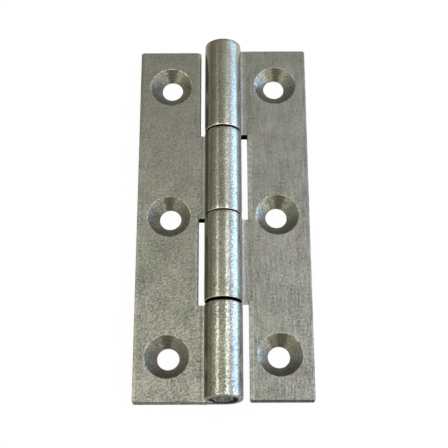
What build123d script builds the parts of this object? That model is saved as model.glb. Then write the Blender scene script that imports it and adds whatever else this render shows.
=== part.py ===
from build123d import *
import os
from math import asin, degrees, radians, tan

# Fixed pin hinge: two steel leaves, each rolled into two knuckles round one riveted pin.
# Millimetres. The leaves lie open and flat on their backs. X runs across them, Y along the pin, Z up.
# The origin is at the middle of the length, under the pin, in the plane of the backs.

# Leaves
leaf_length = 76.0
leaf_reach = 17.35  # pin axis to free edge
plate_thickness = 2.2
leaf_offset = 0.35  # right leaf pushed along the pin, within the end play
edge_roll = 0.9  # width of the shallow roll that the blanking die leaves along the edges
edge_roll_depth = 0.35
back_edge_break = 0.12
corner_radius = 0.4  # corners of the blank, in plan

# Pin and knuckles, counted from the +Y end: right, left, right, left
pin_diameter = 3.0
pin_clearance = 0.05  # radial, between pin and roll
roll_end_gap = 0.2  # end of the roll above the plate
first_knuckle_extra = 1.62  # first knuckle longer than the fourth
second_knuckle_short = 0.38  # second knuckle shorter than the fourth
third_knuckle_short = 0.58  # third knuckle shorter than the fourth
gap_first_second = 0.35
gap_second_third = 0.22
gap_third_fourth = 0.6
rim_chamfer = 0.2  # on the knuckles' end rims
root_step = 0.1  # press line across the root of each tab

# Notches that take the other leaf's knuckles
left_notch_gap = 1.15  # knuckle side to notch edge, in the left leaf
right_notch_gap = 1.2  # the same in the right leaf
first_notch_gap = 0.85  # the same beside the first knuckle
notch_corner = 0.3

# Riveted pin ends and their mouths
rivet_diameter = 5.0
rivet_angle = 90.0  # included angle of rivet and mouth
rivet_recess = 0.15  # rim of the rivet below the knuckle's end face
rivet_crown = 0.12  # rise of the hammered face above its rim
mouth_clearance = 0.3  # radial, round the rim of the rivet

# Screw holes
screw_hole_diameter = 4.3
countersink_diameter = 8.5
countersink_foot = 3.7  # diameter that the cone would have in the plane of the back
countersink_offset = 0.25  # cone set off from its hole, away from the pin
hole_to_free_edge = 6.7
hole_to_near_end = 8.85
hole_to_far_end = 8.35

# Sizes that follow
pin_radius = pin_diameter / 2
bore_radius = pin_radius + pin_clearance
knuckle_radius = bore_radius + plate_thickness
left_notch_edge = knuckle_radius + left_notch_gap
right_notch_edge = knuckle_radius + right_notch_gap
first_notch_edge = knuckle_radius + first_notch_gap
hole_line = leaf_reach - hole_to_free_edge
roll_arc = 270 + degrees(asin((bore_radius - roll_end_gap) / knuckle_radius))  # from under the pin
pin_axis = Axis((0, 0, knuckle_radius), (0, 1, 0))

# Spans along Y, as (near end, far end)
left_span = (-(leaf_length + leaf_offset) / 2, (leaf_length - leaf_offset) / 2)
right_span = (-(leaf_length - leaf_offset) / 2, (leaf_length + leaf_offset) / 2)
knuckle_gaps = gap_first_second + gap_second_third + gap_third_fourth
knuckle_extras = first_knuckle_extra - second_knuckle_short - third_knuckle_short
fourth_length = (leaf_length + leaf_offset - knuckle_gaps - knuckle_extras) / 4
second_length = fourth_length - second_knuckle_short
third_length = fourth_length - third_knuckle_short
first = (right_span[1] - fourth_length - first_knuckle_extra, right_span[1])
second = (first[0] - gap_first_second - second_length, first[0] - gap_first_second)
third = (second[0] - gap_second_third - third_length, second[0] - gap_second_third)
fourth = (left_span[0], third[0] - gap_third_fourth)


def box_between(low, high):
    """Box with the given lowest and highest corners."""
    size = Vector(high) - Vector(low)
    return Pos(*((Vector(low) + Vector(high)) / 2)) * Box(*size)


def roll_section():
    """Plate and roll in one face, with X from the pin axis to the free edge and Y up from the back."""
    centre = (0, knuckle_radius)
    sweep = -roll_arc
    back = Line((leaf_reach, 0), (0, 0))
    outside = CenterArc(centre, knuckle_radius, -90, sweep)
    inside = CenterArc(centre, bore_radius, -90, sweep)
    end_face = Line(outside @ 1, inside @ 1)
    roll_start = leaf_reach - edge_roll
    roll_foot = plate_thickness - edge_roll_depth
    top = Line(inside @ 0, (roll_start, plate_thickness))
    die_roll = EllipticalCenterArc((roll_start, roll_foot), edge_roll, edge_roll_depth, 0, arc_size=90)
    free_edge = Line((leaf_reach, roll_foot), back @ 0)
    section = make_face([back, outside, end_face, inside, top, die_roll, free_edge])
    return fillet(section.vertices().sort_by_distance(back @ 0)[0], back_edge_break)


def blank_plan(span, notches):
    """Blank from above: plate and tabs, less the notches, each given as its span and edge."""
    near, far = span
    past_roll = 2 * knuckle_radius
    width = leaf_reach + past_roll
    plan = Pos(leaf_reach - width / 2, (near + far) / 2) * Rectangle(width, far - near)
    plan = fillet(plan.vertices().group_by(Axis.X)[-1], corner_radius)
    for (low, high), edge in notches:
        depth = edge + past_roll
        notch = Pos(edge - depth / 2, (low + high) / 2) * Rectangle(depth, high - low)
        plan -= fillet(notch.vertices().group_by(Axis.X)[-1], notch_corner)
        for end in (near, far):
            if low < end < high:
                plan = fillet(plan.vertices().sort_by_distance((edge, end))[0], corner_radius)
    return plan


def screw_hole():
    """Cutter for one countersunk hole, standing on the back of the leaf: a drill, and a cone beside its axis."""
    drill = Cylinder(screw_hole_diameter / 2, 3 * plate_thickness)
    foot = countersink_foot / 2
    rim = countersink_diameter / 2
    outline = Polyline((0, 0), (foot, 0), (rim, plate_thickness), (0, plate_thickness), close=True)
    cone = revolve(Plane.XZ * make_face(outline), Axis.Z)
    return drill + Pos(countersink_offset, 0, 0) * cone


def rim_waste(end, inward, root):
    """Cutter that chamfers the rim of a knuckle whose end face is at y = end, and the back of its tab to the root."""
    corner = Polyline((end, rim_chamfer), (end, 0), (end + inward * rim_chamfer, 0), close=True)
    waste = Plane.YZ * make_face(corner)
    return revolve(waste, pin_axis, roll_arc) + extrude(waste, root)


def edge_waste(edge, low, high):
    """Cutter that leaves a die roll along the upper edge of a notch."""
    top = plate_thickness
    foot = top - edge_roll_depth
    corner = Polyline((edge, foot), (edge, top), (edge + edge_roll, top))
    die_roll = EllipticalCenterArc((edge + edge_roll, foot), edge_roll, edge_roll_depth, 90, arc_size=90)
    return extrude(Plane.XZ.offset(-high) * make_face([corner, die_roll]), high - low)


def rolled_leaf(span, tabs, root, notches):
    """Leaf towards +X: the section run along the pin, trimmed to the blank, pressed, drilled and edged."""
    near, far = span
    run = extrude(Plane.XZ.offset(-far) * roll_section(), far - near)
    over_knuckles = 3 * knuckle_radius
    leaf = run & extrude(blank_plan(span, notches), over_knuckles)
    for low, high in tabs:
        step_low = (bore_radius, low, plate_thickness - root_step)
        leaf -= box_between(step_low, (root, high, plate_thickness + roll_end_gap / 2))
        leaf -= rim_waste(low, 1, root) + rim_waste(high, -1, root)
    for (low, high), edge in notches:
        leaf -= edge_waste(edge, low + notch_corner, high - notch_corner)
    for y in (near + hole_to_near_end, (near + far) / 2, far - hole_to_far_end):
        leaf -= Pos(hole_line, y, 0) * screw_hole()
    return leaf


def mouth(end, inward):
    """Cutter for the countersunk mouth of an end knuckle, whose end face is at y = end."""
    rim = rivet_diameter / 2 + mouth_clearance
    depth = rim / tan(radians(rivet_angle / 2))
    outline = Polyline((0, end), (rim, end), (0, end + inward * depth), close=True)
    return Pos(0, 0, knuckle_radius) * revolve(make_face(outline), Axis.Y)


def riveted_pin():
    """Pin with both ends spread into the mouths of the end knuckles and hammered to a shallow cone."""
    near, far = fourth[0] + rivet_recess, first[1] - rivet_recess
    rim = rivet_diameter / 2
    flare = (rim - pin_radius) / tan(radians(rivet_angle / 2))
    outline = Polyline(
        (0, near - rivet_crown),
        (pin_radius, near - rivet_crown),
        (rim, near),
        (pin_radius, near + flare),
        (pin_radius, far - flare),
        (rim, far),
        (pin_radius, far + rivet_crown),
        (0, far + rivet_crown),
        close=True,
    )
    return Pos(0, 0, knuckle_radius) * revolve(make_face(outline), Axis.Y)


beyond = 2 * corner_radius
left_notches = [
    ((second[1], left_span[1] + beyond), first_notch_edge),
    ((fourth[1], second[0]), left_notch_edge),
]
right_notches = [
    ((third[1], first[0]), right_notch_edge),
    ((right_span[0] - beyond, third[0]), right_notch_edge),
]
left_blank = rolled_leaf(left_span, [second, fourth], left_notch_edge, left_notches)
leaf_left = mirror(left_blank, Plane.YZ) - mouth(fourth[0], 1)
leaf_right = rolled_leaf(right_span, [first, third], right_notch_edge, right_notches) - mouth(first[1], -1)
pin = riveted_pin()

os.makedirs("parts", exist_ok=True)
for name, piece in (("leaf_left", leaf_left), ("leaf_right", leaf_right), ("pin", pin)):
    export_step(piece, f"parts/{name}.step")
    print(name, "volume", round(piece.volume, 1), "box", piece.bounding_box())
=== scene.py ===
# %% [markdown]
# # A fixed pin hinge
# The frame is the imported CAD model: two leaves and a riveted pin, in metres, lying open on their backs.
# X runs across the leaves, Y along the pin and Z up. Every piece below is modelled again in that frame,
# with the soft edges, hammered pin ends and steel finishes that the plain solids don't have.

# %% Load the frame
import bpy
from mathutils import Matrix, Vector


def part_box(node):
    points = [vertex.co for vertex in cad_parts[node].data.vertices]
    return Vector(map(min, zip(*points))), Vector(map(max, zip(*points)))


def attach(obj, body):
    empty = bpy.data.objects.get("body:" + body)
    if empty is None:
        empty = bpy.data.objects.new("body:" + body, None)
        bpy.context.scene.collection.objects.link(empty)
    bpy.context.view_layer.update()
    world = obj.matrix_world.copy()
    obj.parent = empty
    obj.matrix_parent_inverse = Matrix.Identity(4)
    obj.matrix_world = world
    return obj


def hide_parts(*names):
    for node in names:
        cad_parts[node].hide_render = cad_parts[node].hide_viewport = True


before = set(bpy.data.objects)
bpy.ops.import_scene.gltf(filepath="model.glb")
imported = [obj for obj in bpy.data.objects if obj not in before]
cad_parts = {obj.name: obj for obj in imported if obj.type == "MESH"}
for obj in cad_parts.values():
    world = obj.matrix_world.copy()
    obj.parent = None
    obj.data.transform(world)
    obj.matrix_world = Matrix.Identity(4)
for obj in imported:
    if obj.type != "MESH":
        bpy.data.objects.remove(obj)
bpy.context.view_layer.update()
print("solids", sorted(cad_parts))

# %% [markdown]
# ## Sizes
# A leaf is a steel strip, punched, with two tabs that are rolled round the pin. The ends and the reach of
# the leaves are read from the frame, and the other sizes here are those that the solids were made with.
# Millimetres are easier to read for such a small part, so each piece is modelled in millimetres and
# scaled to metres as its last step. Knuckles are counted from the far end: right, left, right, left.

# %% Sizes in millimetres
from math import atan2, cos, pi, radians, sin, sqrt

import bmesh
import bpy
from mathutils import Vector, noise

millimetre = 0.001


def corners_of(solid):
    """Lowest and highest corner of a solid of the frame, in millimetres."""
    return [[round(c / millimetre, 3) for c in corner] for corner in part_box(solid)]


left_low, left_high = corners_of("leaf_left")
right_low, right_high = corners_of("leaf_right")
left_span, right_span = (left_low[1], left_high[1]), (right_low[1], right_high[1])
leaf_reach = right_high[0]
thickness = 2.2
pin_radius, pin_clearance = 1.5, 0.05
bore_radius = pin_radius + pin_clearance
knuckle_radius = bore_radius + thickness
pin_line = Vector((0, 0, knuckle_radius))

# Knuckles and the gaps between them, as (near end, far end)
first_length, second_length, third_length = 20.25, 18.25, 18.05
gap_first_second, gap_second_third, gap_third_fourth = 0.35, 0.22, 0.6
first = (right_span[1] - first_length, right_span[1])
second = (first[0] - gap_first_second - second_length, first[0] - gap_first_second)
third = (second[0] - gap_second_third - third_length, second[0] - gap_second_third)
fourth = (left_span[0], third[0] - gap_third_fourth)

# Notch edges from the pin axis: in the left leaf, in the right one, and beside the first knuckle
left_notch_gap, right_notch_gap, first_notch_gap = 1.15, 1.2, 0.85
left_edge = knuckle_radius + left_notch_gap
right_edge = knuckle_radius + right_notch_gap
first_edge = knuckle_radius + first_notch_gap
near_zero = 1e-4
print("leaves along Y", left_span, right_span, "and reach", leaf_reach)
for near, far in (first, second, third, fourth):
    print("knuckle from", round(near, 3), "to", round(far, 3))

# %% [markdown]
# ## Helpers for bmesh
# A bmesh operator gives back all that it made in one list, so two helpers pick out its vertices and its
# faces. Bevel rounds edges or single corners: a profile of 0.5 makes the round part of a circle, and a
# material of -1 lets the new faces take the finish of their neighbours.

# %% Bmesh helpers
def verts_of(geometry):
    """The vertices among what a bmesh operator gives back."""
    return [g for g in geometry if isinstance(g, bmesh.types.BMVert)]


def faces_of(geometry):
    """The faces among what a bmesh operator gives back."""
    return [g for g in geometry if isinstance(g, bmesh.types.BMFace)]


def with_borders(faces):
    """Faces with their edges and vertices, which is what bisect, extrude and spin work on."""
    edges = {e for f in faces for e in f.edges}
    verts = {v for f in faces for v in f.verts}
    return list(faces) + list(edges) + list(verts)


def round_edges(bm, edges, width, steps):
    """A round bevel on edges, and the faces that it made."""
    made = bmesh.ops.bevel(
        bm, geom=edges, offset=width, offset_type="OFFSET", segments=steps,
        profile=0.5, affect="EDGES", material=-1,
    )
    return made["faces"]


def round_corner(bm, corner, radius, steps):
    """A round bevel on one corner."""
    bmesh.ops.bevel(
        bm, geom=[corner], offset=radius, offset_type="OFFSET", segments=steps,
        profile=0.5, affect="VERTICES", material=-1,
    )


def cut_across(bm, faces, place):
    """Cuts faces across the pin, at one place on Y."""
    snap = 1e-6
    bmesh.ops.bisect_plane(
        bm, geom=with_borders(faces), dist=snap, plane_co=(0, place, 0), plane_no=(0, 1, 0),
    )


# %% [markdown]
# ## The plate
# The blanking die draws the long edges of a leaf down into a shallow roll, while the ends are sheared
# off square. A bevelled box would be round on all sides alike, so the plate starts as its cross section,
# a face of four corners, whose two upper corners are rounded before it is drawn out along the pin. The
# roll is wider than it is deep, so the section is made too tall, rounded, and squashed to its thickness,
# which turns the round corner into an ellipse.

# %% Plate
edge_roll, edge_roll_depth = 0.9, 0.35
free_roll = 0.6
back_break, end_break = 0.12, 0.08
roll_steps, break_steps = 6, 2
plan_radius = 0.4
plan_cuts = (0.09, 0.18, 0.29, plan_radius)


def round_plan(bm, end, inward, side, limit):
    """Rounds one corner of a plate, seen from above. Side is 1 past the limit on X, and -1 before it."""
    for depth in plan_cuts:
        near_end = {f for v in bm.verts if abs(v.co.y - end) < plan_radius for f in v.link_faces}
        wall = [f for f in near_end if all(side * (v.co.x - limit) > -near_zero for v in f.verts)]
        cut_across(bm, wall, end + inward * depth)
    for v in bm.verts:
        depth = plan_radius - abs(v.co.y - end)
        if depth > 0 and side * (v.co.x - limit) > -near_zero:
            v.co.x -= side * (plan_radius - sqrt(plan_radius ** 2 - depth ** 2))


def drawn_plate(span, edge):
    """Plate towards +X, from its notch edge to its free edge, without tabs and holes."""
    near, far = span
    squash = edge_roll_depth / edge_roll
    tall = thickness / squash
    bm = bmesh.new()
    places = ((edge, 0), (leaf_reach, 0), (leaf_reach, tall), (edge, tall))
    corners = [bm.verts.new((x, near, z)) for x, z in places]
    bm.faces.new(corners)
    round_corner(bm, corners[2], free_roll, roll_steps)
    round_corner(bm, corners[3], edge_roll, roll_steps)
    bmesh.ops.scale(bm, vec=(1, 1, squash), verts=bm.verts[:])
    for corner in corners[:2]:
        round_corner(bm, corner, back_break, break_steps)
    drawn = bmesh.ops.extrude_face_region(bm, geom=bm.faces[:])
    bmesh.ops.translate(bm, verts=verts_of(drawn["geom"]), vec=(0, far - near, 0))
    for end in span:
        rim = [e for e in bm.edges if all(abs(v.co.y - end) < near_zero for v in e.verts)]
        round_edges(bm, rim, end_break, break_steps)
    round_plan(bm, near, 1, 1, leaf_reach - free_roll)
    round_plan(bm, far, -1, 1, leaf_reach - free_roll)
    bmesh.ops.recalc_face_normals(bm, faces=bm.faces[:])
    return bm


right = drawn_plate(right_span, right_edge)
left = drawn_plate(left_span, left_edge)
print("plates with", len(right.faces), "and", len(left.faces), "faces")

# %% [markdown]
# ## The tabs
# A tab is a part of the strip that was left standing between two notches. Here it is drawn out of the
# plate's inner wall: the wall is cut at the sides of the tab, and extrude carries that stretch towards
# the pin in a few steps. The root lies a little lower than the leaf, where the tool pressed it, and its
# sides are a little off the knuckle's, as the notches were punched before the tab was rolled.

# %% Tab roots
root_step, root_slant = 0.1, 0.3
first_shift, second_shift, third_shift, fourth_shift = 0.25, 0.3, 0.75, 0.5
first_root = (first[0] + first_shift, first[1])
second_root = (second[0], second[1] + second_shift)
third_root = (third[0] + third_shift, third[1])
fourth_root = (fourth[0], fourth[1] + fourth_shift)


def inner_wall(bm, edge, low, high):
    """Faces of the wall at the notch edge between two places on Y, with the roll of its upper edge."""
    limit = edge + edge_roll + near_zero
    end_tilt = 0.01
    wall = [f for f in bm.faces if all(v.co.x < limit for v in f.verts) and abs(f.normal.y) < end_tilt]
    return [f for f in wall if all(low - near_zero < v.co.y < high + near_zero for v in f.verts)]


def drawn_out(bm, face, x, lift=0.0):
    """Draws the end face of a tab out to x, with its upper edge lifted, and gives the new end face."""
    drawn = bmesh.ops.extrude_face_region(bm, geom=with_borders([face]))
    for v in verts_of(drawn["geom"]):
        v.co.x = x
        if v.co.z > thickness / 2:
            v.co.z += lift
    return faces_of(drawn["geom"])[0]


def tab_root(bm, edge, root):
    """Draws the root of a tab out of the wall and gives its end face, which has four corners."""
    drawn = bmesh.ops.extrude_face_region(bm, geom=with_borders(inner_wall(bm, edge, *root)))
    fresh = verts_of(drawn["geom"])
    sides = min(v.co.y for v in fresh), max(v.co.y for v in fresh)
    for place, side in zip(root, sides):
        column = [v for v in fresh if v.is_valid and abs(v.co.y - side) < near_zero]
        top = [v for v in column if v.co.z > thickness / 2]
        foot = [v for v in column if v.co.z < thickness / 2]
        bmesh.ops.pointmerge(bm, verts=top, merge_co=(edge + root_slant, place, thickness - root_step))
        bmesh.ops.pointmerge(bm, verts=foot, merge_co=(edge - root_slant, place, 0))
    return [f for f in faces_of(drawn["geom"]) if f.is_valid][0]


for near, far in (first_root, second_root, third_root, fourth_root):
    print("root from", round(near, 3), "to", round(far, 3))

# %% [markdown]
# ## The soft end of a tab
# Rolling leaves the rims of a knuckle slightly crowned. Rounding them after the roll would mean hundreds
# of small edges, so the tab's end face gets its round corners and its crown first, while it is still one
# flat face, and the spin then carries them right round the knuckle.

# %% Soft end of a tab
rim_round, rim_steps = 0.12, 3
bore_round, bore_steps = 0.08, 2
crown_width, crown_depth = 0.95, 0.09
crown_cuts = (0.3, 0.5, 0.72, crown_width)
mouth_radius = 2.8
mouth_depth = mouth_radius - bore_radius


def soft_end(bm, end, tab):
    """Brings the end face of a tab to the ends of its knuckle, rounds its corners, and gives it back."""
    low, high = tab
    x = end.verts[0].co.x
    for v in end.verts:
        v.co.y = min(tab, key=lambda place: abs(place - v.co.y))
    for v in list(end.verts):
        if v.co.z < thickness / 2:
            round_corner(bm, v, rim_round, rim_steps)
        else:
            round_corner(bm, v, bore_round, bore_steps)
    level = [f for f in bm.faces if all(abs(v.co.x - x) < near_zero for v in f.verts)]
    return [f for f in level if low - near_zero < f.calc_center_median().y < high + near_zero][0]


def split_at(edge, place):
    """Splits an edge along Y at one place on it."""
    start = min(edge.verts, key=lambda v: v.co.y)
    bmesh.utils.edge_split(edge, start, (place - start.co.y) / edge.calc_length())


def crown(end, tab):
    """Draws the under side of a tab's end face in a little towards both of its ends."""
    low, high = tab
    for depth in crown_cuts:
        for place in (low + depth, high - depth):
            under = [e for e in end.edges if all(v.co.z < near_zero for v in e.verts)]
            for e in under:
                near, far = sorted(v.co.y for v in e.verts)
                if near < place < far:
                    split_at(e, place)
                    break
    for v in end.verts:
        share = 1 - max(0.0, min(v.co.y - low, high - v.co.y)) / crown_width
        if share > 0 and v.co.z < thickness / 2:
            v.co.z += crown_depth * (1 - sqrt(1 - share ** 2))


print("mouth of an end knuckle", mouth_radius, "mm in radius and", round(mouth_depth, 3), "mm deep")

# %% [markdown]
# ## The knuckles
# On the press, a tab is bent round a mandrel until its end comes back near the plate. Blender's spin does
# the same to the tab's end face, round the pin axis. The two end knuckles also have a mouth, countersunk
# for the spread end of the pin. A boolean could cut it, but moving the rim of the bore outwards and
# letting the wall behind it slope keeps the mesh clean.

# %% Roll of one tab
roll_degrees, knuckle_steps = 291.1, 60
tip_break = 0.06

# Edges across a tab on its way under the pin: places on X, and then also the lift of its upper side
neck_places = (knuckle_radius + 0.2, 2 * pin_radius)
tab_places = [(2.26, 0), (bore_radius + 0.1, 0), (bore_radius - 0.1, root_step)]
tab_places += [(1.0, 0), (0.5, 0), (0, 0)]


def flare_mouth(bm, mouth):
    """Opens the bore of an end knuckle to a cone that takes the spread end of the pin."""
    for v in bm.verts:
        arm = Vector((v.co.x, 0, v.co.z - knuckle_radius))
        depth = abs(v.co.y - mouth)
        if depth < bore_round + near_zero and arm.length < mouth_radius - depth:
            arm *= (mouth_radius - depth) / arm.length
            v.co = Vector((arm.x, v.co.y, arm.z + knuckle_radius))


def roll_tab(bm, edge, root, tab, mouth=None):
    """Draws a tab out of its root and rolls it round the pin. A mouth is the end that takes a rivet."""
    end = tab_root(bm, edge, root)
    for x in neck_places:
        end = drawn_out(bm, end, x)
    end = soft_end(bm, end, tab)
    crown(end, tab)
    if mouth is not None:
        inward = 1 if mouth == tab[0] else -1
        upper = [e for e in end.edges if all(v.co.z > thickness / 2 for v in e.verts)]
        split_at(max(upper, key=lambda e: e.calc_length()), mouth + inward * mouth_depth)
    for x, lift in tab_places:
        end = drawn_out(bm, end, x, lift)
    rolled = bmesh.ops.spin(
        bm, geom=with_borders([end]), cent=pin_line, axis=(0, 1, 0),
        angle=radians(roll_degrees), steps=knuckle_steps,
    )
    tip = faces_of(rolled["geom_last"])[0]
    round_edges(bm, list(tip.edges), tip_break, break_steps)
    if mouth is not None:
        flare_mouth(bm, mouth)


print("tabs rolled by", roll_degrees, "degrees in", knuckle_steps, "steps")

# %% [markdown]
# ## Four knuckles on two leaves
# The knuckles of the two leaves take turns along the pin, so each leaf has two. The wall is cut at the
# sides of every root first, so that only that stretch of it is drawn out. Beside the first knuckle, the
# edge of the left leaf stands nearer to the pin, so that stretch is moved in as a whole. The corner that
# has no knuckle is rounded last, like the outer ones.

# %% Knuckles of both leaves
def roll_tabs(bm, span, edge, tabs, mouth, nearer=None):
    """Rolls the tabs of a leaf, given as pairs of root and knuckle. Nearer is a wall at the first edge."""
    near, far = span
    places = {y for root, tab in tabs for y in root} | set(nearer or ())
    for place in sorted(y for y in places if near < y < far):
        cut_across(bm, inner_wall(bm, edge, near, far), place)
    if nearer:
        drawn = bmesh.ops.extrude_face_region(bm, geom=with_borders(inner_wall(bm, edge, *nearer)))
        bmesh.ops.translate(bm, verts=verts_of(drawn["geom"]), vec=(first_edge - edge, 0, 0))
    for root, tab in tabs:
        roll_tab(bm, edge, root, tab, mouth if mouth in tab else None)
    bare_end, inward = (near, 1) if mouth == far else (far, -1)
    round_plan(bm, bare_end, inward, -1, (first_edge if nearer else edge) + edge_roll)
    bmesh.ops.recalc_face_normals(bm, faces=bm.faces[:])


right_tabs = [(first_root, first), (third_root, third)]
left_tabs = [(second_root, second), (fourth_root, fourth)]
right_mouth, left_mouth = first[1], fourth[0]
roll_tabs(right, right_span, right_edge, right_tabs, right_mouth)
roll_tabs(left, left_span, left_edge, left_tabs, left_mouth, (second_root[1], left_span[1]))
print("leaves with knuckles:", len(right.faces), "and", len(left.faces), "faces")

# %% [markdown]
# ## Which finish goes where
# A leaf shows its steel in many states: tumbled on top, torn at the sheared ends, rubbed along the rims of
# the holes. Painted light and painted highlight brighten the notch edges and the near rims of the
# knuckles, and painted shade darkens the ends, the roots between the knuckles and the mouths. A face keeps
# the number of its material slot, so the numbers get names here. The slots could be painted by hand, but a
# rule from each face's middle and normal is quicker, and it still holds after a size has changed.

# %% Finishes by number
leaf_face, hole_cut, knuckle_face, sheared_end, hole_rim, filed_ring = range(6)
notch_roll, knuckle_rim, shaded_root, notch_slope, outer_roll, mouth_wall = range(6, 12)

# Limits of place, in millimetres
knuckle_end, end_zone = knuckle_radius + 0.3, 37.0
# The near face of the third root takes the notch slope finish, which has painted light on the right leaf.
lit_root_width, lit_root_start = 0.3, 3.5
notch_start, notch_end = 4.5, 8.0
rim_depth, rim_side, rim_zone = 0.4, 3.0, -30.0

# Limits of a normal's part upwards, and then of its part along the pin
roll_foot, roll_steep, roll_top, back_facing = 0.25, 0.985, 0.9995, 0.99
end_facing, rim_facing, side_tilt = 0.9, 0.2, 0.1


def finish_of(face, tabs, mouth):
    """The number of the finish that a face of a leaf has. Where several fit, the last one holds."""
    middle, normal = face.calc_center_median(), face.normal
    reach = (middle - pin_line).xz.length
    at_mouth = abs(middle.y - mouth) < mouth_depth and bore_radius < reach < knuckle_radius
    is_lit_root = abs(middle.y - third_root[0]) < lit_root_width and middle.x > lit_root_start
    is_roll = roll_foot < normal.z < roll_top and abs(normal.y) < side_tilt
    finish = leaf_face
    if middle.x < knuckle_end and normal.z > -back_facing:
        finish = knuckle_face
    if abs(normal.y) > end_facing and not is_lit_root:
        finish = sheared_end if abs(middle.y) > end_zone else shaded_root
        if at_mouth and reach > mouth_radius and middle.z > thickness:
            finish = filed_ring
    if at_mouth and reach < mouth_radius:
        finish = mouth_wall
    if is_lit_root and normal.y < -end_facing:
        finish = notch_slope
    if is_roll and notch_start < middle.x < notch_end:
        if normal.z < roll_steep:
            finish = notch_roll
        elif not any(root[0] < middle.y < root[1] for root, tab in tabs):
            finish = notch_slope
    if is_roll and middle.x > leaf_reach - free_roll:
        finish = outer_roll
    # Rims of the knuckles that face the near end take the finish with a painted highlight.
    at_rim = reach > knuckle_radius - rim_depth and middle.x < rim_side and middle.y > rim_zone
    if at_rim and -end_facing < normal.y < -rim_facing:
        finish = knuckle_rim
    return finish


for bm, tabs, mouth in ((right, right_tabs, right_mouth), (left, left_tabs, left_mouth)):
    for f in bm.faces:
        f.material_index = finish_of(f, tabs, mouth)
    print("faces with a finish of their own:", sum(f.material_index != leaf_face for f in bm.faces))

# %% [markdown]
# ## The screw holes
# Each hole is drilled and then countersunk for a flat screw head. The cone sits a little beside the hole,
# so the edge where they meet rises and falls. A boolean would find that edge by itself. Here it starts as
# a plain circle, whose points go out to the wall of the hole and up to the cone.

# %% Rings of a hole
hole_radius = 2.15
hole_to_free_edge = 6.7
cone_radius, cone_foot, cone_shift = 4.33, 1.85, 0.25
cone_line = leaf_reach - hole_to_free_edge + cone_shift
cone_rise = thickness / (cone_radius - cone_foot)
hole_facets = 96


def to_hole(way):
    """Distance from the cone's axis to the wall of the drilled hole, one way from it."""
    return sqrt(hole_radius ** 2 - (cone_shift * way.y) ** 2) - cone_shift * way.x


def ring(bm, y, place):
    """Edges of a ring round a cone's axis. Place gives the radius and height for each way from it."""
    made = bmesh.ops.create_circle(bm, radius=1, segments=hole_facets)
    for v in made["verts"]:
        radius, z = place(v.co)
        v.co = Vector((cone_line + radius * v.co.x, y + radius * v.co.y, z))
    return list({e for v in made["verts"] for e in v.link_edges})


print("holes of", 2 * hole_radius, "mm, countersunk to", 2 * cone_radius, "mm")

# %% [markdown]
# ## Boring the leaves
# A boolean could bore the holes, but leaves slivers round their rims. So the big upper and lower faces
# are taken off and filled again round three rings each. Bridging the rings down through the plate makes
# the cone and the short straight wall, and a fine bevel wears the rim. A UV map keeps the turn and the
# radius of each point round its hole, for the marks of the bit.

# %% Bored leaves
hole_to_near_end, hole_to_far_end = 8.85, 8.35
rim_wear, wear_steps = 0.1, 3


def bore_holes(bm, rows):
    """Fills the upper and lower face round a row of countersunk holes."""
    upper = max(bm.faces, key=lambda f: f.calc_area() * f.normal.z)
    lower = max(bm.faces, key=lambda f: f.calc_area() * -f.normal.z)
    top, back = list(upper.edges), list(lower.edges)
    bmesh.ops.delete(bm, geom=[upper, lower], context="FACES_ONLY")
    rims = [ring(bm, y, lambda way: (cone_radius, thickness)) for y in rows]
    lands = [ring(bm, y, lambda way: (to_hole(way), (to_hole(way) - cone_foot) * cone_rise)) for y in rows]
    mouths = [ring(bm, y, lambda way: (to_hole(way), 0)) for y in rows]
    bmesh.ops.triangle_fill(bm, edges=top + sum(rims, []), use_beauty=True, normal=(0, 0, 1))
    bmesh.ops.triangle_fill(bm, edges=back + sum(mouths, []), use_beauty=True, normal=(0, 0, -1))
    for rim, land, mouth in zip(rims, lands, mouths):
        cone = bmesh.ops.bridge_loops(bm, edges=rim + land)["faces"]
        wall = bmesh.ops.bridge_loops(bm, edges=land + mouth)["faces"]
        for f in cone + wall:
            f.material_index = hole_cut
    for rim in rims:
        for f in round_edges(bm, [e for e in rim if e.is_valid], rim_wear, wear_steps):
            f.material_index = hole_rim


def map_turns(bm, rows):
    """Writes the turn and the radius of each corner of a face round its nearest hole to a UV map."""
    turned = bm.loops.layers.uv.new("turned")
    for f in bm.faces:
        y = min(rows, key=lambda row: abs(row - f.calc_center_median().y))
        for corner in f.loops:
            arm = corner.vert.co.xy - Vector((cone_line, y))
            corner[turned].uv = (atan2(arm.y, arm.x) / (2 * pi), arm.length)


for bm, (near, far) in ((right, right_span), (left, left_span)):
    rows = (near + hole_to_near_end, (near + far) / 2, far - hole_to_far_end)
    bore_holes(bm, rows)
    map_turns(bm, rows)
    print("holes at", [round(y, 3) for y in rows], "and", len(bm.faces), "faces")

# %% [markdown]
# ## Steel, in plain nodes
# A finish could be clicked together in the shader editor. In a script, a small helper keeps the node
# trees readable: it makes a node, sets its sockets by name, and links the ones that are given another
# node's output. The others are words for what is done often: arithmetic, noise, and stretching it.

# %% Node helpers
def node(tree, kind, settings=None, **sockets):
    """One shader node. A socket given an output is linked to it, and any other value is set."""
    made = tree.nodes.new("ShaderNode" + kind)
    for name, value in (settings or {}).items():
        setattr(made, name, value)
    for name, value in sockets.items():
        key = int(name[1:]) if name[1:].isdigit() else name.replace("_", " ")
        if isinstance(value, bpy.types.NodeSocket):
            tree.links.new(value, made.inputs[key])
        else:
            made.inputs[key].default_value = value
    return made


def maths(tree, operation, *values):
    """One step of arithmetic."""
    sockets = {f"_{i}": value for i, value in enumerate(values)}
    return node(tree, "Math", {"operation": operation}, **sockets).outputs[0]


def grains(tree, place, scale, detail, roughness=0.5):
    """Noise of one grain size."""
    return node(tree, "TexNoise", Vector=place, Scale=scale, Detail=detail, Roughness=roughness).outputs[0]


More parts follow.
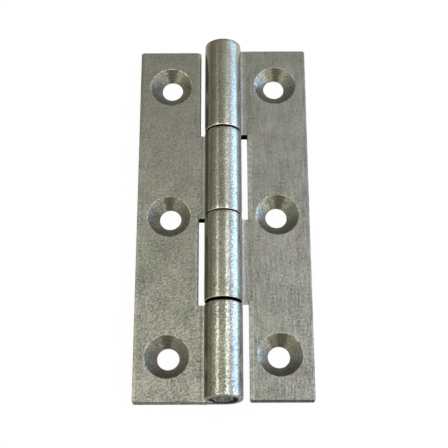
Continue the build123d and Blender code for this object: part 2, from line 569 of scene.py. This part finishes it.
def stretched(tree, place, across, along, up):
    """Object coordinates scaled to pattern sizes across, along and up."""
    return node(tree, "Mapping", Vector=place, Scale=(across, along, up)).outputs["Vector"]


# %% [markdown]
# ## From noise to colour
# A noise is only a number from 0 to 1. A colour ramp turns it into a tone between two colours, and a map
# range into a roughness. Mixing joins two noises, and multiplying by a tint darkens or warms a place,
# which keeps the grain below it, where painting over it would not.

# %% Ramps and mixes
def ramp(tree, value, low, dark, high, light):
    """A colour ramp from dark at low to light at high."""
    made = node(tree, "ValToRGB", Fac=value)
    for stop, place, colour in zip(made.color_ramp.elements, (low, high), (dark, light)):
        stop.position = place
        stop.color = (*colour, 1)
    return made.outputs["Color"]


def remap(tree, value, low, high, to_low, to_high):
    """A value carried from one range to another, with its ends held."""
    made = node(tree, "MapRange", Value=value, From_Min=low, From_Max=high, To_Min=to_low, To_Max=to_high)
    return made.outputs[0]


def mixed(tree, share, a, b):
    """Two values mixed."""
    return node(tree, "Mix", {"data_type": "FLOAT"}, _0=share, _2=a, _3=b).outputs[0]


def tinted(tree, share, colour, tint):
    """A colour multiplied by a tint, where share is 1."""
    tint = (*tint, 1) if isinstance(tint, tuple) else tint
    made = node(tree, "Mix", {"data_type": "RGBA", "blend_type": "MULTIPLY"}, _0=share, _6=colour, _7=tint)
    return made.outputs[2]


# %% [markdown]
# ## A bare steel
# All finishes here are one metal in different states, so they start from the same shader, fully metallic.
# Object coordinates hold the patterns still while a leaf turns. A bump node shades fine dents without
# geometry, which is right for marks of a few hundredths of a millimetre.

# %% Bare steel
def steel_tree(name):
    """An empty metal: the node tree, its shader and its object coordinates in metres."""
    material = bpy.data.materials.new(name)
    material.use_nodes = True
    tree = material.node_tree
    shader = tree.nodes["Principled BSDF"]
    shader.inputs["Metallic"].default_value = 1.0
    place = node(tree, "TexCoord").outputs["Object"]
    return material, tree, shader, place


def dress(tree, shader, colour, roughness, height=None, strength=1.0, depth=0.0):
    """Links colour and roughness to the shader, and a bump where there is a height."""
    tree.links.new(colour, shader.inputs["Base Color"])
    tree.links.new(roughness, shader.inputs["Roughness"])
    if height is not None:
        bump = node(tree, "Bump", Strength=strength, Distance=depth, Height=height)
        tree.links.new(bump.outputs["Normal"], shader.inputs["Normal"])


# %% [markdown]
# ## Painted light and shade beside the knuckles
# Beside the knuckles, the tab roots get painted light and their necks a painted highlight, so both are
# brighter than the leaf, and where a roll turns down on the left, painted shade darkens it. Vertex colours
# could hold such places. Fades along X and Z need none, and are as sharp or as soft as their two ends are
# set.

# %% Painted light and shade
# Tints of the painted light, the painted highlight and the painted shade.
painted_light_tint, painted_highlight_tint, painted_shade_tint = (1.2, 1.21, 1.27), (1.42, 1.44, 1.53), (0.45, 0.43, 0.31)


def fade(tree, value, start, end):
    """0 before a place and 1 after another, both in millimetres."""
    return remap(tree, value, start * millimetre, end * millimetre, 0.0, 1.0)


def painted_light_and_shade(tree, spot, colour, shaded_left_side):
    """Painted light on tab roots, a painted highlight on their necks, painted shade on a knuckle's left
    side.
    """
    across, up = spot[0], spot[2]
    away = maths(tree, "ABSOLUTE", across)
    on_top = maths(tree, "MULTIPLY", fade(tree, up, 1.8, 2.0), fade(tree, up, 2.5, 2.3))
    # Painted light on the tops of the tab roots.
    painted_light_zone = maths(tree, "MULTIPLY", on_top, fade(tree, away, 5.3, 4.6))
    colour = tinted(tree, painted_light_zone, colour, painted_light_tint)
    # Painted highlight: a light line on the neck right beside the knuckle.
    painted_highlight_zone = maths(tree, "MULTIPLY", on_top, fade(tree, away, 4.3, 4.1))
    colour = tinted(tree, painted_highlight_zone, colour, painted_highlight_tint)
    if shaded_left_side:
        # Painted shade on the upper left side of a knuckle.
        painted_shade_zone = maths(tree, "MULTIPLY", fade(tree, up, 2.7, 3.9), fade(tree, across, -1.9, -2.8))
        colour = tinted(tree, painted_shade_zone, colour, painted_shade_tint)
    return colour


# %% [markdown]
# ## Tumbled steel of the leaves and knuckles
# The leaves were tumbled with small stones, so their face is a field of tiny dents that sparkle, over
# faint lines from the rolling mill that run along the strip. One noise would look like sand, so four are
# mixed: dents for the bump, long thin lines, broad clouds for the tone, and a haze of tarnish. Towards the
# far end, the grain grows calmer, and painted light and shade make the tone lighter or darker from one end
# to the other. The knuckles were rubbed by the roll, so they are finer and shine more than the leaves.

# %% Tumbled steel
half_length = 0.038
dent_depth, near_dents, far_dents = 0.0001, 1.35, 0.65


def along_pin(tree, along, near, far):
    """A value that changes evenly from the near end of the hinge to its far end."""
    return remap(tree, along, -half_length, half_length, near, far)


def tumbled_steel(
    name, dark, light, lines, dent, calm, painted_light_near_far,
    fineness=2300.0, harshness=0.65, rough=(0.36, 0.48), shaded_left_side=False,
):
    """Steel with stone dents and mill lines, calmer by a share at the far end, with painted light and
    shade.
    """
    material, tree, shader, place = steel_tree(name)
    spot = node(tree, "SeparateXYZ", Vector=place).outputs
    mill_lines = grains(tree, stretched(tree, place, 2600, 260, 2600), 1.0, 2.0)
    grain = mixed(tree, lines, grains(tree, place, fineness, 3.0, harshness), mill_lines)
    tone = mixed(tree, 0.25, grain, grains(tree, place, 240.0, 3.0, 0.6))
    tone = mixed(tree, along_pin(tree, spot[1], 0.0, calm), tone, 0.5)
    colour = ramp(tree, tone, 0.38, dark, 0.62, light)
    haze = grains(tree, place, 170.0, 2.0)
    tarnish = ramp(tree, haze, 0.36, (0.95, 0.975, 0.955), 0.64, (1.01, 0.99, 1.025))
    colour = tinted(tree, 1.0, colour, tarnish)
    # Painted light and shade: a tint lightens or darkens the steel from the near end to the far end.
    colour = tinted(tree, 1.0, colour, along_pin(tree, spot[1], *painted_light_near_far))
    colour = painted_light_and_shade(tree, spot, colour, shaded_left_side)
    smooth, dull = rough
    roughness = remap(tree, grain, 0.35, 0.65, dull, smooth)
    strength = along_pin(tree, spot[1], near_dents * dent, far_dents * dent)
    dress(tree, shader, colour, roughness, grain, strength, dent_depth)
    return material


left_steel = tumbled_steel(
    "tumbled_left_steel", (0.122, 0.119, 0.098), (0.445, 0.44, 0.378),
    lines=0.15, dent=0.82, calm=0.5, painted_light_near_far=(1.05, 0.9),
)
right_steel = tumbled_steel(
    "tumbled_right_steel", (0.141, 0.139, 0.119), (0.415, 0.41, 0.37),
    lines=0.32, dent=0.74, calm=0.4, painted_light_near_far=(0.95, 1.02),
)
knuckle_steel = tumbled_steel(
    "rolled_knuckle_steel", (0.165, 0.162, 0.134), (0.51, 0.504, 0.438),
    lines=0.06, dent=0.32, calm=0.5, painted_light_near_far=(1.0, 1.0),
    fineness=2900.0, harshness=0.6, rough=(0.18, 0.28), shaded_left_side=True,
)
# Outer rolls: painted light and shade along the left one, painted shade in the darker colours of the right
# one.
left_outer_steel_with_painted_light_and_shade = tumbled_steel(
    "tumbled_left_outer_edge_steel_with_painted_light_and_shade", (0.125, 0.122, 0.10), (0.40, 0.395, 0.34),
    lines=0.15, dent=0.78, calm=0.35, painted_light_near_far=(1.5, 0.78),
)
outer_steel = tumbled_steel(
    "tumbled_outer_edge_steel_in_painted_shade", (0.112, 0.109, 0.092), (0.33, 0.325, 0.29),
    lines=0.32, dent=0.7, calm=0.35, painted_light_near_far=(1.04, 0.94),
)
print("tumbled steel:", left_steel.name, right_steel.name, knuckle_steel.name)

# %% [markdown]
# ## Turned steel of the countersinks
# A countersink bit leaves fine rings round the cone. They follow the radius from the middle of each hole,
# which the faces carry in their UV map, so one noise along that radius draws them. Rings alone would look
# like a record, so a second, fine noise breaks them up where the bit chattered. The near wall of each cone
# gets a painted shade, a tint that follows the turn round the hole.

# %% Countersink steel
quarter_turn = 0.25


def turned_steel(name):
    """Bare cut steel with the rings of the bit, and a painted shade on the near wall of the cone."""
    material, tree, shader, place = steel_tree(name)
    turned = node(tree, "UVMap", {"uv_map": "turned"}).outputs[0]
    turn, radius = node(tree, "SeparateXYZ", Vector=turned).outputs[:2]
    from_near = maths(tree, "ABSOLUTE", maths(tree, "ADD", turn, quarter_turn))
    one_way = {"noise_dimensions": "1D"}
    rings = node(tree, "TexNoise", one_way, W=radius, Scale=5.0, Detail=3.0, Roughness=0.7).outputs[0]
    chatter = grains(tree, place, 3200.0, 3.0, 0.6)
    tone = mixed(tree, 0.62, rings, chatter)
    colour = ramp(tree, tone, 0.36, (0.105, 0.10, 0.078), 0.64, (0.355, 0.346, 0.305))
    # Painted shade: a darker tint on the near wall of the cone.
    colour = tinted(tree, remap(tree, from_near, 0.08, 0.22, 1.0, 0.0), colour, (0.58, 0.58, 0.55))
    dress(tree, shader, colour, remap(tree, tone, 0.35, 0.65, 0.36, 0.26), tone, 0.8, 0.00004)
    shader.inputs["Specular Tint"].default_value = (0.6, 0.6, 0.57, 1)
    shader.inputs["Anisotropic"].default_value = 0.65
    shader.inputs["Anisotropic Rotation"].default_value = 0.25
    across = node(tree, "Tangent", {"direction_type": "UV_MAP", "uv_map": "turned"}).outputs[0]
    tree.links.new(across, shader.inputs["Tangent"])
    return material


hole_steel = turned_steel("turned_countersink_steel")
print("turned steel:", hole_steel.name)

# %% [markdown]
# ## Rubbed steel of rims, and painted light on edges
# Handling wears the sharp places first, and there the bare metal is brighter and smoother, as on the rims
# of the holes. The rolls along the notches and the slopes beside them get painted light, and the near rims
# of the knuckles a painted highlight. A pointiness mask could find such places, but the rims are faces of
# their own here, so each simply gets a lighter steel with a little unevenness.

# %% Rubbed steel and painted light
def rubbed_and_painted_light_steel(name, dark, light, smooth, dull):
    """Steel rubbed bright on a rim, or made lighter by painted light on an edge."""
    material, tree, shader, place = steel_tree(name)
    worn = grains(tree, place, 1400.0, 3.0)
    dress(tree, shader, ramp(tree, worn, 0.4, dark, 0.6, light), remap(tree, worn, 0.4, 0.6, dull, smooth))
    return material


# Painted highlight: bright steel on the right leaf's notch rolls and on the knuckles' near rims.
painted_highlight_colours = (0.62, 0.615, 0.56), (0.82, 0.815, 0.76)
rim_steel = rubbed_and_painted_light_steel("rubbed_rim_steel", (0.19, 0.187, 0.16), (0.48, 0.475, 0.43), 0.34, 0.5)
edge_steel = rubbed_and_painted_light_steel("painted_highlight_edge_steel", *painted_highlight_colours, 0.44, 0.54)
# Painted light on the right leaf's notch slopes and the left leaf's notch rolls.
painted_light_edge_steel = rubbed_and_painted_light_steel("painted_light_edge_steel", (0.34, 0.335, 0.295), (0.50, 0.495, 0.44), 0.44, 0.54)
painted_highlight_ring_steel = rubbed_and_painted_light_steel("painted_highlight_ring_steel", *painted_highlight_colours, 0.26, 0.34)
print("rubbed steel:", rim_steel.name, edge_steel.name, painted_light_edge_steel.name, painted_highlight_ring_steel.name)

# %% [markdown]
# ## Sheared steel of the ends
# Where the strip was sheared, the face is torn along its thickness and dull, and a painted shade makes it
# dark, more on the right leaf than on the left. A noise stretched in Z draws the tears. The same finish
# serves the hammered ends of the pin, which keep the black scale of the wire, and the filed rings round
# the mouths. Faces deep between the leaves and in the mouths get painted shade: they are near black,
# hardly shine and aren't metallic.

# %% Sheared steel
def sheared_steel(name, dark, light):
    """Dull dark steel, torn along the thickness."""
    material, tree, shader, place = steel_tree(name)
    tears = grains(tree, stretched(tree, place, 4000, 4000, 500), 1.0, 3.0)
    roughness = remap(tree, tears, 0.3, 0.7, 0.75, 0.5)
    dress(tree, shader, ramp(tree, tears, 0.35, dark, 0.7, light), roughness, tears, 0.6, 0.00004)
    return material


def painted_shade_steel(name, dark, light):
    """Sheared steel without shine, for painted shade."""
    material = sheared_steel(name, dark, light)
    shader = material.node_tree.nodes["Principled BSDF"]
    shader.inputs["Metallic"].default_value = 0.0
    shader.inputs["Specular IOR Level"].default_value = 0.0
    return material


# Painted shade darkens the sheared ends, more on the right leaf than on the left.
shaded_right_end_steel = sheared_steel("sheared_and_shaded_right_end_steel", (0.035, 0.034, 0.03), (0.10, 0.098, 0.088))
shaded_left_end_steel = sheared_steel("sheared_and_shaded_left_end_steel", (0.085, 0.083, 0.072), (0.22, 0.216, 0.19))
pin_steel = sheared_steel("hammered_pin_steel", (0.05, 0.05, 0.046), (0.22, 0.22, 0.20))
ring_steel = sheared_steel("filed_ring_steel", (0.13, 0.125, 0.105), (0.32, 0.31, 0.27))
# Painted shade: near-black faces deep between the knuckles, and dark ones in the mouths.
shaded_steel = painted_shade_steel("shaded_end_steel", (0.002, 0.002, 0.002), (0.010, 0.010, 0.009))
mouth_steel = painted_shade_steel("shaded_mouth_steel", (0.024, 0.024, 0.022), (0.072, 0.07, 0.064))
print("sheared steel:", shaded_right_end_steel.name, shaded_left_end_steel.name, pin_steel.name, ring_steel.name)

# %% [markdown]
# ## The leaves in place
# A bmesh becomes a piece in a few steps: doubles are merged, normals worked out, millimetres scaled to
# metres, and the mesh linked to the scene. The left leaf was made towards +X like the right one, and a
# scale of -1 mirrors it, which turns its faces inside out, so the normals come after that. Shading is
# smooth but for edges over 50 degrees, and weighted normals keep big flat faces flat beside small rounds.

# %% Leaves in place
weld = 1e-5
sharp_degrees = 50


def finished(bm, name, body, node, materials):
    """Scales a piece to metres and hands it to the frame in place of its solid."""
    bmesh.ops.remove_doubles(bm, verts=bm.verts[:], dist=weld)
    bmesh.ops.recalc_face_normals(bm, faces=bm.faces[:])
    open_edges = sum(not e.is_manifold for e in bm.edges)
    volume = round(bm.calc_volume(), 1)
    print(name, len(bm.faces), "faces,", open_edges, "open edges,", volume, "mm3")
    bmesh.ops.scale(bm, vec=(millimetre, millimetre, millimetre), verts=bm.verts[:])
    mesh = bpy.data.meshes.new(name)
    bm.to_mesh(mesh)
    bm.free()
    for material in materials:
        mesh.materials.append(material)
    mesh.shade_smooth()
    mesh.set_sharp_from_angle(angle=radians(sharp_degrees))
    piece = bpy.data.objects.new(name, mesh)
    bpy.context.scene.collection.objects.link(piece)
    even = piece.modifiers.new("flat faces stay flat", "WEIGHTED_NORMAL")
    even.keep_sharp = True
    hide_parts(node)
    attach(piece, body)


common_finish = {
    hole_cut: hole_steel, hole_rim: rim_steel, knuckle_face: knuckle_steel, knuckle_rim: painted_highlight_ring_steel,
    filed_ring: ring_steel, shaded_root: shaded_steel, mouth_wall: mouth_steel,
}
right_finish = common_finish | {
    leaf_face: right_steel, sheared_end: shaded_right_end_steel, outer_roll: outer_steel,
    notch_roll: edge_steel, notch_slope: painted_light_edge_steel,
}
left_finish = common_finish | {
    leaf_face: left_steel, sheared_end: shaded_left_end_steel, outer_roll: left_outer_steel_with_painted_light_and_shade,
    notch_roll: painted_light_edge_steel, notch_slope: left_steel,
}
right_slots = [right_finish[number] for number in sorted(right_finish)]
left_slots = [left_finish[number] for number in sorted(left_finish)]
finished(right, "right_leaf", "turning_leaf", "leaf_right", right_slots)
bmesh.ops.scale(left, vec=(-1, 1, 1), verts=left.verts[:])
finished(left, "left_leaf", "fixed_leaf", "leaf_left", left_slots)

# %% [markdown]
# ## The pin
# The pin is a piece of wire whose two ends were hammered until they spread into the mouths of the end
# knuckles, so it can't be drawn. A cylinder has no such ends, so half of the pin's outline is spun round
# the pin axis, as on a lathe. The struck ends are then pushed off centre, made oval and dented with a
# noise that is the same at every run.

# %% Pin
rivet_recess = 0.15
pin_steps = 64
head = [
    (0, -0.10), (0.35, -0.10), (0.7, -0.10), (1.05, -0.10), (1.4, -0.09), (1.75, -0.07), (2.1, -0.04),
    (2.38, 0.0), (2.48, 0.05), (2.48, 0.12), (2.38, 0.2), (pin_radius, 1.0),
]
head_length, face_depth = 0.5, 0.06
oval, off_centre = 0.88, -0.28
blow_depth, blow_reach = 0.12, 0.35
broad_blows, small_blows, small_share = 1.1, 2.7, 0.6


def riveted_pin():
    """The pin with both ends spread and struck."""
    near, far = fourth[0] + rivet_recess, first[1] - rivet_recess
    outline = [(r, near + y) for r, y in head] + [(r, far - y) for r, y in reversed(head)]
    bm = bmesh.new()
    points = [bm.verts.new((0, y, knuckle_radius - r)) for r, y in outline]
    for a, b in zip(points, points[1:]):
        bm.edges.new((a, b))
    bmesh.ops.spin(
        bm, geom=bm.verts[:] + bm.edges[:], cent=pin_line, axis=(0, 1, 0),
        angle=2 * pi, steps=pin_steps, use_merge=True,
    )
    bmesh.ops.remove_doubles(bm, verts=bm.verts[:], dist=near_zero)
    for v in bm.verts:
        if abs(v.co.y) > far - head_length:
            v.co.x = oval * v.co.x + off_centre
        if abs(v.co.y) > far - face_depth:
            blow = noise.noise(v.co * broad_blows) + small_share * noise.noise(v.co * small_blows)
            inward = -1 if v.co.y > 0 else 1
            v.co.y += inward * blow_depth * max(0.0, blow_reach + blow)
    return bm


finished(riveted_pin(), "riveted_pin", "fixed_leaf", "pin", [pin_steel])

# %% [markdown]
# ## The floor
# The hinge lies on a pale floor. A white page behind the object could come from strong lamps, but they
# would bleach the steel. So for what looks straight at it, and for its mirror image in the steel, the
# floor glows white by itself, and only a small share is paint that takes the shadow of the hinge.

# %% Floor
floor_size, floor_drop = 8.0, 0.00003
glow_share = 0.97

floor_mesh = bpy.data.meshes.new("floor")
sheet = bmesh.new()
bmesh.ops.create_grid(sheet, x_segments=1, y_segments=1, size=floor_size)
bmesh.ops.translate(sheet, verts=sheet.verts[:], vec=(0, 0, -floor_drop))
sheet.to_mesh(floor_mesh)
sheet.free()
floor = bpy.data.objects.new("floor", floor_mesh)
bpy.context.scene.collection.objects.link(floor)

pale = bpy.data.materials.new("pale_floor")
pale.use_nodes = True
floor_tree = pale.node_tree
floor_tree.nodes.clear()
paint = node(floor_tree, "BsdfDiffuse", Color=(0.8, 0.8, 0.8, 1)).outputs[0]
glow = node(floor_tree, "Emission", Color=(1, 1, 1, 1), Strength=1.0).outputs[0]
ray = node(floor_tree, "LightPath").outputs
seen = maths(floor_tree, "MAXIMUM", ray["Is Camera Ray"], ray["Is Glossy Ray"])
seen = maths(floor_tree, "MAXIMUM", seen, ray["Is Transmission Ray"])
share = maths(floor_tree, "MULTIPLY", seen, glow_share)
surface = node(floor_tree, "MixShader", _0=share, _1=paint, _2=glow).outputs[0]
node(floor_tree, "OutputMaterial", Surface=surface)
floor_mesh.materials.append(pale)
print("floor", floor_mesh.name, "with", pale.name)

# %% [markdown]
# ## The lamps
# A bright roll of steel shows each lamp as one streak, so the lamps are set by their streaks: two tubes
# left and right of the pin, a panel, and a cool window far over on the right. An image of a room could do
# this too, but plain rectangles are easier to move. All stand on an arc over the pin and lean only to the
# side, so that their long sides stay in line with it. A dim warm world fills what no lamp reaches.

# %% Lamps and world
def lamp(name, lean, distance, along, size, glow, colour):
    """A rectangular lamp on an arc over the pin, leaning by degrees. Glow is how bright its face looks."""
    width, length = size
    light = bpy.data.lights.new(name, "AREA")
    light.shape = "RECTANGLE"
    light.size, light.size_y = size
    light.energy = glow * pi * width * length
    light.color = colour
    holder = bpy.data.objects.new(name, light)
    holder.location = (distance * sin(radians(lean)), along, distance * cos(radians(lean)))
    holder.rotation_euler = (0, radians(lean), 0)
    holder.visible_camera = False
    bpy.context.scene.collection.objects.link(holder)


lamp("left_ceiling", -9.5, 1.0, -0.1, (0.33, 0.8), 1.1, (1.0, 0.97, 0.88))
lamp("right_ceiling", 9.5, 1.0, 0.2, (0.33, 1.1), 0.30, (0.62, 0.85, 1.0))
lamp("far_ceiling", -2, 1.0, 0.7, (0.6, 0.6), 0.2, (1.0, 0.98, 0.92))
lamp("left_wall", -60, 1.0, -0.1, (0.6, 1.0), 0.4, (1.0, 0.97, 0.82))
lamp("left_front", -47, 1.0, -0.9, (0.42, 1.0), 1.2, (0.97, 0.97, 0.74))
lamp("left_tube", -34.6, 1.28, -0.04, (0.13, 0.92), 8.2, (1.0, 0.99, 0.93))
lamp("left_tube_end", -34.6, 1.28, 0.13, (0.13, 1.26), 1.75, (1.0, 0.99, 0.93))
lamp("right_tube", 22.0, 1.07, -0.05, (0.2, 0.9), 4.4, (0.96, 0.99, 1.0))
lamp("right_tube_end", 22.0, 1.07, 0.055, (0.22, 1.11), 1.72, (0.96, 0.99, 1.0))
lamp("right_panel", 34.5, 1.0, 0.2, (0.15, 1.3), 1.65, (0.95, 0.97, 1.0))
lamp("window", 55.5, 1.0, 0.72, (0.36, 1.4), 2.0, (0.60, 0.72, 1.0))
lamp("window_foot", 77, 1.0, 0.3, (0.53, 0.8), 3.5, (0.48, 0.71, 1.0))
lamp("window_sill", 84, 1.0, 0.40, (0.20, 0.32), 3.2, (0.34, 0.62, 1.0))
lamp("front_window", 66, 1.0, -0.42, (0.55, 0.66), 2.2, (1.0, 0.98, 0.96))
lamp("right_front", 38, 1.0, -1.1, (0.40, 0.9), 1.7, (1.0, 0.98, 0.95))

world = bpy.data.worlds.new("studio")
bpy.context.scene.world = world
world.use_nodes = True
sky = world.node_tree.nodes["Background"].inputs
sky["Color"].default_value = (1.0, 0.96, 0.78, 1)
sky["Strength"].default_value = 0.33
print("lamps", len(bpy.data.lights))

# %% [markdown]
# ## The camera
# The camera stands above the near end of the hinge and looks down along it, from where the photograph was
# taken. Its place could be found by eye, but was worked out from the corners, holes and seams that the
# photograph shows. The focal length is known in pixels, and the sensor's width turns it into millimetres.

# %% Camera
image_pixels, focal_pixels, sensor_width = 448, 1150.0, 36
camera = bpy.data.cameras.new("camera")
camera.lens = focal_pixels * sensor_width / image_pixels
camera.sensor_width = sensor_width
camera.clip_start = 0.01
eye = bpy.data.objects.new("camera", camera)
eye.location = (0.000684, -0.091374, 0.214451)
eye.rotation_euler = (radians(22.866), radians(0.195), radians(-0.113))
bpy.context.scene.collection.objects.link(eye)
bpy.context.scene.camera = eye
bpy.context.scene.view_settings.view_transform = "Standard"
print("camera with a lens of", round(camera.lens, 1), "mm")
